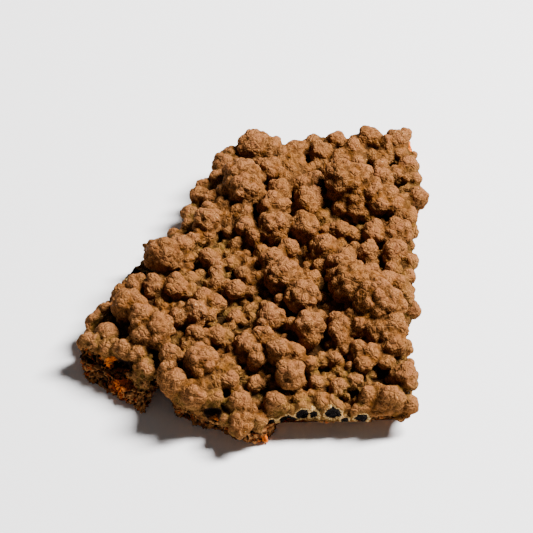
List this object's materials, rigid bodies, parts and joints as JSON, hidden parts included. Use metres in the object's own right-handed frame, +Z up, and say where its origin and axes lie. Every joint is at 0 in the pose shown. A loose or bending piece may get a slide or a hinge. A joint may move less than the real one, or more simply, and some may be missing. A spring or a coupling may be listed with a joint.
{
  "type": "mineral specimen",
  "caption": "Slab of botryoidal mottramite: a brown crust of packed round lumps, like cauliflower heads, on a thin rusty matrix plate, with broken edges.",
  "frame": {"origin": "under the middle of the specimen's box, on the surface it rests on", "axes": "+Z up, away from the matrix; -Y towards the broken front edge; +X to the right as seen from the front"},
  "size_m": [0.0912, 0.0988, 0.0223],
  "materials": {
    "mottramite": "matt, finely granular, dusty on the tops",
    "matrix": "matt, rough and crumbly"
  },
  "bodies": {
    "root": {"mottramite_crust": "mottramite", "rusty_matrix": "matrix"}
  },
  "joints": []
}
